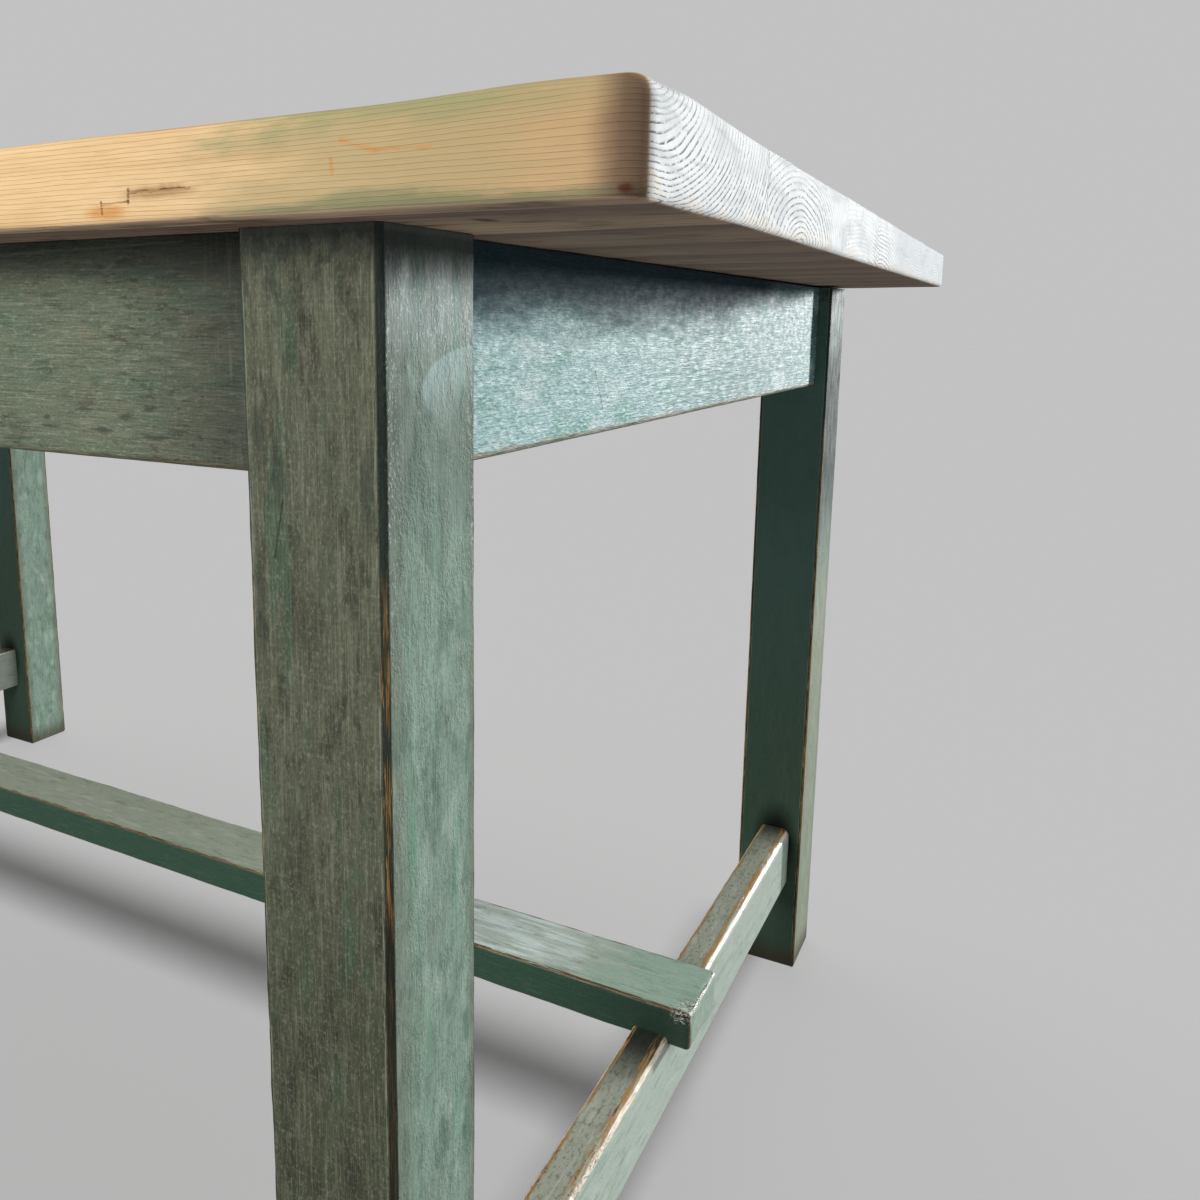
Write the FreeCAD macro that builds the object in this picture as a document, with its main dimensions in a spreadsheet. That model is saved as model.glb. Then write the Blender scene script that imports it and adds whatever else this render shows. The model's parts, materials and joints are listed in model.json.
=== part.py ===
# Plank-topped dining table: six boards on four square legs, joined by tenoned aprons, low end
# stretchers and one long stretcher that is notched over them.
# Lengths are in millimetres. The origin lies on the floor under the middle of the top, +X runs along
# the table and +Z is up.
import FreeCAD, Part
import os
import re
import Sketcher
from FreeCAD import Placement, Rotation, Vector

SIZES = {
    # Top
    "table_height": 770.0,
    "top_length": 1555.0,
    "top_width": 890.0,
    "top_thickness": 32.0,
    "top_corner_radius": 9.0,
    "top_edge_radius": 3.0,
    "end_overhang": 110.0,
    "side_overhang": 30.0,
    # Splines glued into the edges of neighbouring boards
    "spline_width": 30.0,
    "spline_thickness": 8.0,
    "spline_end_distance": 60.0,
    # Legs
    "leg_size": 66.0,
    "leg_corner_chamfer": 3.2,
    "arris": 1.0,
    # Aprons and end stretchers
    "rail_setback": 12.5,
    "rail_thickness": 29.0,
    "apron_height": 96.0,
    "stretcher_floor_height": 100.0,
    "end_stretcher_height": 62.0,
    # Long stretcher
    "stretcher_width": 64.0,
    "stretcher_thickness": 31.0,
    "stretcher_end": 17.0,
    "lap_depth": 7.0,
    "lap_dowel_diameter": 12.0,
    # Mortises and tenons
    "tenon_thickness": 11.0,
    "tenon_shoulder": 12.0,
    "haunch_height": 25.0,
    "haunch_length": 10.0,
    "mortise_wall": 2.5,
    "blind_gap": 1.0,
    "joint_clearance": 0.15,
    # Buttons that hold the top down, the groove they sit in, and their screws
    "button_width": 32.0,
    "button_length": 36.0,
    "button_thickness": 24.0,
    "button_gap": 2.0,
    "groove_drop": 10.0,
    "groove_height": 9.0,
    "groove_depth": 10.0,
    "screw_diameter": 4.2,
    "screw_head_diameter": 8.4,
    "screw_head_height": 2.6,
}

# Where the edges of the boards lie across the top, from its front
BOARD_EDGE_SHARES = (0, 0.157, 0.357, 0.494, 0.654, 0.803, 1)
BOARDS = len(BOARD_EDGE_SHARES) - 1
LAP_DOWEL_DEPTH_SHARE = 0.65
SCREW_BITE_SHARE = 0.5

# The sides of the table and the leg at the left hand of each, in quarter turns from the front
SIDES = ("front", "right", "back", "left")
LEGS = ("front_left", "front_right", "back_right", "back_left")
RIGHT_ANGLE = 90

# Where the buttons lie along the clear length of each side's apron
LONG_SIDE_BUTTON_SHARES = (0.15, 0.5, 0.85)
END_BUTTON_SHARES = (0.25, 0.75)

# Two points closer than this are the same point
COINCIDENT = 1e-4

# The sketcher's own numbers for the two ends of a line and for the axes, which start at the origin
START, END = range(1, 3)
X_AXIS, Y_AXIS = range(-1, -3, -1)

# Sums of the sizes above that several pieces share
HALF_SPAN_X = "(top_length / 2 - end_overhang)"
HALF_SPAN_Y = "(top_width / 2 - side_overhang)"
UNDERSIDE = "(table_height - top_thickness)"
APRON_LEVEL = f"({UNDERSIDE} - apron_height)"
BUTTON_FACE = f"({UNDERSIDE} - button_thickness)"
RAIL_CENTRE = "(rail_setback + rail_thickness / 2)"
MORTISE_DEPTH = f"(leg_size - {RAIL_CENTRE} - tenon_thickness / 2 - mortise_wall)"
TENON_LENGTH = f"({MORTISE_DEPTH} - blind_gap)"
LAP_LEVEL = "(stretcher_floor_height + end_stretcher_height)"
LAP_DOWEL_DEPTH = f"({LAP_DOWEL_DEPTH_SHARE} * (stretcher_thickness - lap_depth))"
TONGUE_LENGTH = "(groove_depth - blind_gap)"
SCREW_LENGTH = f"(button_thickness + {SCREW_BITE_SHARE} * top_thickness)"

doc = FreeCAD.newDocument("dining_table")
sheet = doc.addObject("Spreadsheet::Sheet", "Sizes")
for row, (size_name, size) in enumerate(SIZES.items(), start=1):
    sheet.set(f"A{row}", size_name)
    sheet.set(f"B{row}", str(size))
    sheet.setAlias(f"B{row}", size_name)
doc.recompute()

pieces = {}


def formula(text):
    """A sum of named sizes, written as the sheet's cells."""
    return re.sub(r"[a-z]\w+", lambda word: "Sizes." + word.group(), text)


def value(text):
    """What a sum of named sizes comes to."""
    return float(sheet.evalExpression(formula(text)))


def negative(text):
    return f"-({text})"


def side_spans(turn):
    """Half the span of the legs along a side and across it, as that side is faced."""
    return (HALF_SPAN_X, HALF_SPAN_Y) if turn % 2 == 0 else (HALF_SPAN_Y, HALF_SPAN_X)


def place(piece, turn, along, across, level):
    """Sets a piece where it is seen on the front, turned about the table's middle to another side."""
    piece.Placement = Placement(Vector(), Rotation(Vector(0, 0, 1), RIGHT_ANGLE * turn))
    x, y = along, across
    for _ in range(turn):
        x, y = negative(y), x
    piece.setExpression("Placement.Base.x", formula(x))
    piece.setExpression("Placement.Base.y", formula(y))
    piece.setExpression("Placement.Base.z", formula(level))


def hold(sketch, side, axis, distance):
    """Ties the first point of an outline's side to the origin along one axis."""
    if distance == "0":
        line = Y_AXIS if axis == "X" else X_AXIS
        sketch.addConstraint(Sketcher.Constraint("PointOnObject", side, START, line))
        return
    number = sketch.addConstraint(
        Sketcher.Constraint(f"Distance{axis}", X_AXIS, START, side, START, value(distance)))
    sketch.setExpression(f"Constraints[{number}]", formula(distance))


def plan(body, name, corners, level="0"):
    """A level outline of straight sides at a height, its corners given as sums of named sizes."""
    sketch = body.newObject("Sketcher::SketchObject", f"{body.Name}_{name}_plan")
    floor = next(feature for feature in body.Origin.OriginFeatures if feature.Role == "XY_Plane")
    sketch.AttachmentSupport = (floor, [""])
    sketch.MapMode = "FlatFace"
    sketch.setExpression("AttachmentOffset.Base.z", formula(level))
    points = [Vector(value(x), value(y), 0) for x, y in corners]
    for start, end in zip(points, points[1:] + points[:1]):
        sketch.addGeometry(Part.LineSegment(start, end))
    for side in range(len(points)):
        following = (side + 1) % len(points)
        sketch.addConstraint(Sketcher.Constraint("Coincident", side, END, following, START))
    for side, (x, y) in enumerate(corners):
        hold(sketch, side, "X", x)
        hold(sketch, side, "Y", y)
    return sketch


def rectangle(x_low, x_high, y_low, y_high):
    return [(x_low, y_low), (x_high, y_low), (x_high, y_high), (x_low, y_high)]


def pad(body, name, corners, level, height):
    """Adds an upright block over a level outline."""
    feature_sketch = plan(body, name, corners, level)
    feature = body.newObject("PartDesign::Pad", f"{body.Name}_{name}")
    feature.Profile = feature_sketch
    feature.setExpression("Length", formula(height))
    doc.recompute()
    return feature


def pocket(body, name, corners, level, depth):
    """Sinks a level outline downwards from a height, and makes sure that it cuts."""
    before = body.Shape.Volume
    feature_sketch = plan(body, name, corners, level)
    feature = body.newObject("PartDesign::Pocket", f"{body.Name}_{name}")
    feature.Profile = feature_sketch
    feature.setExpression("Length", formula(depth))
    doc.recompute()
    if body.Shape.Volume >= before:
        raise RuntimeError(f"{body.Label}: {name} cuts nothing")
    return feature


def edge_names(feature, wanted):
    """The names of a feature's edges whose ends and middle pass a test."""
    names = []
    for number, edge in enumerate(feature.Shape.Edges, start=1):
        middle = edge.valueAt((edge.FirstParameter + edge.LastParameter) / 2)
        if wanted([vertex.Point for vertex in edge.Vertexes] + [middle]):
            names.append(f"Edge{number}")
    return names


def dress(body, kind, size_property, base, edges, size_text):
    """Rounds or chamfers chosen edges of a feature."""
    feature = body.newObject(f"PartDesign::{kind}", f"{body.Name}_{kind.lower()}_{len(body.Group)}")
    feature.Base = (base, edges)
    feature.setExpression(size_property, formula(size_text))
    doc.recompute()
    return feature


def near(first, second):
    return abs(first - second) < COINCIDENT


def new_body(label):
    body = doc.addObject("PartDesign::Body", label)
    body.Label = label
    return body


def cylinder(label, diameter, length):
    """An upright round rod or hole."""
    rod = doc.addObject("Part::Cylinder", label)
    rod.setExpression("Radius", formula(f"({diameter}) / 2"))
    rod.setExpression("Height", formula(length))
    return rod


def group(label, members):
    bundle = doc.addObject("Part::Compound", label)
    bundle.Label = label
    bundle.Links = members
    return bundle


def cut(label, base, tool):
    piece = doc.addObject("Part::Cut", label)
    piece.Label = label
    piece.Base = base
    piece.Tool = tool
    return piece


# A plank of the top, rounded along the edges that lie on the outline of the table and grooved for the
# splines along those that meet another plank
def top_board(number, holes):
    label = f"top_board_{number}"
    front, back = (f"({share} * top_width)" for share in BOARD_EDGE_SHARES[number - 1:number + 1])
    width = f"({back} - {front})"
    body = new_body(f"{label}_blank")
    solid = pad(body, "plank", rectangle("0", "top_length", "0", width), "0", "top_thickness")
    outer_side = {1: 0.0, BOARDS: value(width)}.get(number)
    if outer_side is not None:
        corners = edge_names(solid, lambda points: all(near(point.y, outer_side) for point in points)
                             and near(points[0].x, points[1].x))
        solid = dress(body, "Fillet", "Radius", solid, corners, "top_corner_radius")

    joint_sides = [side for side in (0.0, value(width)) if side != outer_side]
    rims = edge_names(solid, lambda points: near(points[0].z, points[1].z)
                      and not any(all(near(point.y, side) for point in points) for side in joint_sides))
    dress(body, "Fillet", "Radius", solid, rims, "top_edge_radius")

    depth = "(spline_width / 2 + blind_gap)"
    grooves = {"front": ("0", depth), "back": (f"{width} - {depth}", width)}
    if number == 1:
        grooves.pop("front")
    if number == BOARDS:
        grooves.pop("back")
    stop = "(spline_end_distance - blind_gap)"
    for name, (low, high) in grooves.items():
        outline = rectangle(stop, f"top_length - {stop}", low, high)
        pocket(body, f"{name}_groove", outline, "(top_thickness + spline_thickness) / 2 + joint_clearance",
               "spline_thickness + 2 * joint_clearance")
    place(body, 0, negative("top_length / 2"), f"{front} - top_width / 2", UNDERSIDE)
    pieces[label] = cut(label, body, holes)


# A flat strip in the grooves of two neighbouring planks, stopped short of the ends of the table
def top_spline(joint):
    label = f"top_spline_{joint}"
    strip = doc.addObject("Part::Box", label)
    strip.setExpression("Length", formula("top_length - 2 * spline_end_distance"))
    strip.setExpression("Width", formula("spline_width"))
    strip.setExpression("Height", formula("spline_thickness"))
    across = f"{BOARD_EDGE_SHARES[joint]} * top_width - top_width / 2 - spline_width / 2"
    level = f"{UNDERSIDE} + (top_thickness - spline_thickness) / 2"
    place(strip, 0, "spline_end_distance - top_length / 2", across, level)
    pieces[label] = strip


# A square leg, chamfered on its outer corner, with two haunched mortises at its head for the aprons and
# one plain mortise below for the end stretcher
def leg(corner):
    turn = LEGS.index(corner)
    label = f"leg_{corner}"
    body = new_body(label)
    outline = [("leg_corner_chamfer", "0"), ("leg_size - arris", "0"), ("leg_size", "arris"),
               ("leg_size", "leg_size - arris"), ("leg_size - arris", "leg_size"), ("arris", "leg_size"),
               ("0", "leg_size - arris"), ("0", "leg_corner_chamfer")]
    pad(body, "post", outline, "0", UNDERSIDE)
    end_side_faces_x = turn % 2 == 1
    for face in ("x", "y"):
        tenon_top = f"({UNDERSIDE} - haunch_height + joint_clearance)"
        tenon_height = "(apron_height - haunch_height - tenon_shoulder + 2 * joint_clearance)"
        mortise(body, f"apron_{face}", face, MORTISE_DEPTH, tenon_top, tenon_height)
        mortise(body, f"haunch_{face}", face, "haunch_length + blind_gap", UNDERSIDE, "haunch_height")
        if (face == "x") == end_side_faces_x:
            tenon_top = f"({LAP_LEVEL} - tenon_shoulder + joint_clearance)"
            tenon_height = "(end_stretcher_height - 2 * tenon_shoulder + 2 * joint_clearance)"
            mortise(body, f"stretcher_{face}", face, MORTISE_DEPTH, tenon_top, tenon_height)
    half_along, half_across = side_spans(turn)
    place(body, turn, negative(half_along), negative(half_across), "0")
    pieces[label] = body


def mortise(body, name, face, depth, top, height):
    """A slot sunk into one of a leg's two inner faces, in line with the middle of the rails."""
    low = f"{RAIL_CENTRE} - tenon_thickness / 2 - joint_clearance"
    high = f"{RAIL_CENTRE} + tenon_thickness / 2 + joint_clearance"
    slot = rectangle(f"leg_size - ({depth})", "leg_size", low, high)
    if face == "y":
        slot = [(y, x) for x, y in slot]
    pocket(body, name, slot, top, height)


# A rail between two legs: its face board, and the tenons that run out of its ends
def tenoned_rail(label, side, level, height, tenons):
    turn = SIDES.index(side)
    half_along, half_across = side_spans(turn)
    body = new_body(label)
    shoulder = f"(2 * ({half_along} - leg_size))"
    face = rectangle(TENON_LENGTH, f"{TENON_LENGTH} + {shoulder}", "0", "rail_thickness")
    board = pad(body, "board", face, "0", height)
    long_edges = edge_names(board, lambda points: not near(points[0].x, points[1].x))
    dress(body, "Chamfer", "Size", board, long_edges, "arris")
    cheek_low = "(rail_thickness - tenon_thickness) / 2"
    cheek_high = "(rail_thickness + tenon_thickness) / 2"
    for name, reach, low, high in tenons:
        ends = rectangle(f"{TENON_LENGTH} - {reach}", f"{TENON_LENGTH} + {shoulder} + {reach}",
                         cheek_low, cheek_high)
        pad(body, name, ends, low, f"{high} - ({low})")
    along = f"-({half_along} - leg_size) - {TENON_LENGTH}"
    place(body, turn, along, f"-({half_across} - rail_setback)", level)
    return body, shoulder


# An apron has haunched tenons and a groove for the buttons along its inner face
def apron(side):
    label = f"apron_{side}"
    tenon_top = "(apron_height - haunch_height)"
    tenons = [("tenon", TENON_LENGTH, "tenon_shoulder", tenon_top),
              ("haunch", "haunch_length", tenon_top, "apron_height")]
    body, shoulder = tenoned_rail(label, side, APRON_LEVEL, "apron_height", tenons)
    groove = rectangle(TENON_LENGTH, f"{TENON_LENGTH} + {shoulder}",
                       "rail_thickness - groove_depth", "rail_thickness")
    pocket(body, "groove", groove, "apron_height - groove_drop", "groove_height")
    pieces[label] = body


# An end stretcher has plain tenons, and a hole in its upper edge for the lap dowel
def end_stretcher(side, holes):
    label = f"end_stretcher_{side}"
    tenons = [("tenon", TENON_LENGTH, "tenon_shoulder", "(end_stretcher_height - tenon_shoulder)")]
    body = tenoned_rail(f"{label}_blank", side, "stretcher_floor_height", "end_stretcher_height", tenons)[0]
    pieces[label] = cut(label, body, holes)


# The long stretcher lies flat, notched underneath so that it sits down over both end stretchers
def long_stretcher(holes):
    label = "long_stretcher"
    half_length = f"({HALF_SPAN_X} - rail_setback + stretcher_end)"
    body = new_body(f"{label}_blank")
    outline = rectangle("0", f"2 * {half_length}", "0", "stretcher_width")
    plank = pad(body, "plank", outline, "0", "stretcher_thickness")
    arrises = edge_names(plank, lambda points: near(points[0].z, points[1].z))
    dress(body, "Chamfer", "Size", plank, arrises, "arris")
    low = "stretcher_end - joint_clearance"
    high = "stretcher_end + rail_thickness + joint_clearance"
    notch_near = rectangle(low, high, "0", "stretcher_width")
    notch_far = rectangle(f"2 * {half_length} - ({high})", f"2 * {half_length} - ({low})",
                          "0", "stretcher_width")
    pocket(body, "notch_near", notch_near, "lap_depth", "lap_depth")
    pocket(body, "notch_far", notch_far, "lap_depth", "lap_depth")
    place(body, 0, negative(half_length), negative("stretcher_width / 2"), f"{LAP_LEVEL} - lap_depth")
    pieces[label] = cut(label, body, holes)


# An upright dowel at each lap of the long stretcher, or the holes for them
def lap_dowels(label, wider, longer):
    members = []
    depth = f"({LAP_DOWEL_DEPTH} + {longer})"
    for side in ("right", "left"):
        rod = cylinder(f"{label}_{side}", f"lap_dowel_diameter + 2 * ({wider})", f"2 * {depth}")
        across = negative(f"{HALF_SPAN_X} - {RAIL_CENTRE}")
        place(rod, SIDES.index(side), "0", across, f"{LAP_LEVEL} - {depth}")
        members.append(rod)
    return group(label, members)


def button_places():
    """The name of each button, the turn of its side, and where its middle lies along that side."""
    for turn, side in enumerate(SIDES):
        half_along = side_spans(turn)[0]
        shares = LONG_SIDE_BUTTON_SHARES if side in ("front", "back") else END_BUTTON_SHARES
        for number, share in enumerate(shares, start=1):
            yield f"{side}_{number}", turn, f"((2 * {share} - 1) * ({half_along} - leg_size))"


def button_tip(turn):
    """Where the end of a button's tongue lies across its side, inside the apron's groove."""
    half_across = side_spans(turn)[1]
    return f"(-({half_across} - rail_setback - rail_thickness) - {TONGUE_LENGTH})"


# A block screwed under the top, with a tongue that hooks into the groove of an apron
def top_button(name, turn, middle, holes):
    label = f"button_{name}"
    body = new_body(f"{label}_blank")
    block_start = f"({TONGUE_LENGTH} + button_gap)"
    block_end = f"({block_start} + button_length)"
    pad(body, "block", rectangle("0", "button_width", block_start, block_end), "0", "button_thickness")
    tongue_top = "(button_thickness - groove_drop - joint_clearance)"
    tongue_low = "(button_thickness - groove_drop - groove_height + blind_gap)"
    tongue = rectangle("0", "button_width", "0", block_end)
    pad(body, "tongue", tongue, tongue_low, f"{tongue_top} - {tongue_low}")
    place(body, turn, f"{middle} - button_width / 2", button_tip(turn), BUTTON_FACE)
    pieces[label] = cut(label, body, holes)


def screw_rods(label, diameter, level, length):
    """An upright rod through the middle of every button's block."""
    rods = []
    for name, turn, middle in button_places():
        rod = cylinder(f"{label}_{name}", diameter, length)
        across = f"{button_tip(turn)} + {TONGUE_LENGTH} + button_gap + button_length / 2"
        place(rod, turn, middle, across, level)
        rods.append(rod)
    return rods


def screw_holes():
    rods = screw_rods("screw_hole", "screw_diameter + 2 * joint_clearance", f"{BUTTON_FACE} - blind_gap",
                      f"{SCREW_LENGTH} + 2 * blind_gap")
    return group("screw_holes", rods)


# Screws with flat round heads, up through the buttons into the top
def button_screws():
    label = "button_screws"
    shanks = screw_rods("screw_shank", "screw_diameter", BUTTON_FACE, SCREW_LENGTH)
    heads = screw_rods("screw_head", "screw_head_diameter", f"{BUTTON_FACE} - screw_head_height",
                       "screw_head_height")
    screws = []
    for shank, head in zip(shanks, heads):
        screw = doc.addObject("Part::Fuse", f"{shank.Name}_with_head")
        screw.Base = shank
        screw.Tool = head
        screws.append(screw)
    pieces[label] = group(label, screws)


def build():
    lap_dowel_holes = lap_dowels("lap_dowel_holes", "joint_clearance", "blind_gap")
    holes_for_screws = screw_holes()
    for number in range(1, BOARDS + 1):
        top_board(number, holes_for_screws)
    for joint in range(1, BOARDS):
        top_spline(joint)
    for corner in LEGS:
        leg(corner)
    for side in SIDES:
        apron(side)
    for side in ("left", "right"):
        end_stretcher(side, lap_dowel_holes)
    long_stretcher(lap_dowel_holes)
    pieces["lap_dowels"] = lap_dowels("lap_dowels", "0", "0")
    for name, turn, middle in button_places():
        top_button(name, turn, middle, holes_for_screws)
    button_screws()
    doc.recompute()


def check():
    for item in doc.Objects:
        if "Invalid" in item.State or "Error" in item.State:
            raise RuntimeError(f"{item.Label} failed: {item.State}")
    for label, piece in pieces.items():
        if piece.Shape.isNull() or not piece.Shape.isValid():
            raise RuntimeError(f"{label} has no sound shape")


def write():
    os.makedirs("parts", exist_ok=True)
    for label, piece in pieces.items():
        piece.Shape.exportStep(f"parts/{label}.step")
        print(label, len(piece.Shape.Solids), round(piece.Shape.Volume), piece.Shape.BoundBox)


build()
check()
write()
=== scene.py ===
# Looks of a plank-topped dining table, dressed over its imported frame.
# Metres, +X along the table, +Y from the viewed side to the far side, +Z up.
import itertools
import json
import math

import bpy
import numpy as np
from mathutils import Matrix, Vector

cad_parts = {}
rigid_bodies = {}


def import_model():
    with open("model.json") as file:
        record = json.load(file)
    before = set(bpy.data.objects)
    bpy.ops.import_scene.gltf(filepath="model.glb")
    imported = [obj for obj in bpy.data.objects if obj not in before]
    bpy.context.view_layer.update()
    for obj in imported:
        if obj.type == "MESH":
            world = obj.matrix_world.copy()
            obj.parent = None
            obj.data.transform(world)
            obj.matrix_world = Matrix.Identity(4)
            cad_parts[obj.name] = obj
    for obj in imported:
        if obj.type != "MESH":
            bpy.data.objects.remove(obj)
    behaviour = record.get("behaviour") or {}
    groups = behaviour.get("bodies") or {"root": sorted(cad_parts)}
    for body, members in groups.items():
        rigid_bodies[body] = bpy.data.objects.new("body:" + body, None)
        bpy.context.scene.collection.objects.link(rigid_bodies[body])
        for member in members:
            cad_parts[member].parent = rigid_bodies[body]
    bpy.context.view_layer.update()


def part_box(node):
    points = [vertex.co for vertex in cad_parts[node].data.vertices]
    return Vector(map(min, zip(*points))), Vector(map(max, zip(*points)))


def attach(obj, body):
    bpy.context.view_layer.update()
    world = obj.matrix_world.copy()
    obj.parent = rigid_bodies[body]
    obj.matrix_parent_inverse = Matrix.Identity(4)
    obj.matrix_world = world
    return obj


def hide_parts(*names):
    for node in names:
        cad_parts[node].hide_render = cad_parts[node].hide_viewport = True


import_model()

MM = 0.001
X, Y, Z = range(3)
LOW, HIGH = range(2)
SIDES = (LOW, HIGH)
ROUND = 2.0
WORN_CHAMFER = 1.2
FLOOR_TONE = 0.539

BOARDS = [f"top_board_{n}" for n in range(1, 7)]
SPLINES = [f"top_spline_{n}" for n in range(1, 6)]
BUTTON_COUNTS = {"front": 3, "right": 2, "back": 3, "left": 2}
BUTTONS = [f"button_{side}_{n + 1}" for side, count in BUTTON_COUNTS.items() for n in range(count)]
TOP_LOW, TOP_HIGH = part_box(BOARDS[0])[LOW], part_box(BOARDS[-1])[HIGH]


# Repeatable noise for shapes

# Large odd numbers that stir a place into a word of 32 bits
STIR = np.array([374761393, 668265263, 982451653])
STIR_AGAIN = 1274126177
WORD = 0xFFFFFFFF
HALF_WORD = 0xFFFF


def lattice(cell, seed):
    """A repeatable number from -1 to 1 for each whole-number place."""
    word = ((cell * STIR).sum(axis=-1) + seed * STIR_AGAIN) & WORD
    word = ((word ^ (word >> 13)) * STIR_AGAIN) & WORD
    return ((word ^ (word >> 16)) & HALF_WORD) * 2 / HALF_WORD - 1


def noise(points, size, seed):
    """Smooth noise from -1 to 1 whose bumps measure about size along each axis."""
    place = points / np.asarray(size)
    cell = np.floor(place).astype(np.int64)
    part = place - cell
    part = part * part * (3 - 2 * part)
    total = np.zeros(len(points))
    for corner in itertools.product(SIDES, repeat=3):
        share = np.where(np.array(corner) == HIGH, part, 1 - part).prod(axis=1)
        total += share * lattice(cell + np.array(corner), seed)
    return total


def smooth(value, start, end):
    """Eases from 0 at start to 1 at end."""
    share = np.clip((value - start) / (end - start), 0, 1)
    return share * share * (3 - 2 * share)


# Timber shapes

def add_object(name, data):
    """A new object in the scene."""
    made = bpy.data.objects.new(name, data)
    bpy.context.scene.collection.objects.link(made)
    return made


RIM_SHARES = np.array([0, 0.05, 0.14, 0.28, 0.45, 0.65, 0.85, 1.0, 1.3])


def grid_lines(low, high, cell, rim):
    """Places along one axis, close together at both rims and even between them."""
    rims = rim * RIM_SHARES
    inner = high - low - 2 * rims[-1]
    count = max(1, round(inner / cell))
    middle = np.linspace(low + rims[-1], high - rims[-1], count + 1)
    return np.concatenate([low + rims[:-1], middle, (high - rims[:-1])[::-1]])


def box_skin(lines):
    """Points and quads of the skin of a box cut by grid lines along three axes."""
    shape = [len(line) for line in lines]
    index = np.arange(np.prod(shape)).reshape(shape)
    quads = []
    for axis in range(3):
        for side in SIDES:
            sheet = np.take(index, -side, axis=axis)
            ring = (sheet[:-1, :-1], sheet[1:, :-1], sheet[1:, 1:], sheet[:-1, 1:])
            quad = np.stack([corner.ravel() for corner in ring], axis=1)
            inward = (side == LOW) != (axis == Y)
            quads.append(quad[:, ::-1] if inward else quad)
    used, flat = np.unique(np.concatenate(quads), return_inverse=True)
    grid = np.stack(np.meshgrid(*lines, indexing="ij"), axis=-1).reshape(-1, 3)
    return grid[used], flat.reshape(-1, 4)


def eased(first, second, power):
    """Shares by which two insets shrink so that a square corner becomes an eased one."""
    near = (first > 0) & (second > 0)
    first = np.where(near, first, 1)
    second = np.where(near, second, 1)
    span = (first ** power + second ** power) ** (1 / power)
    pull = np.where(near, 1 - np.maximum(first, second) / span, 0)
    return near, first * pull, second * pull


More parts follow.
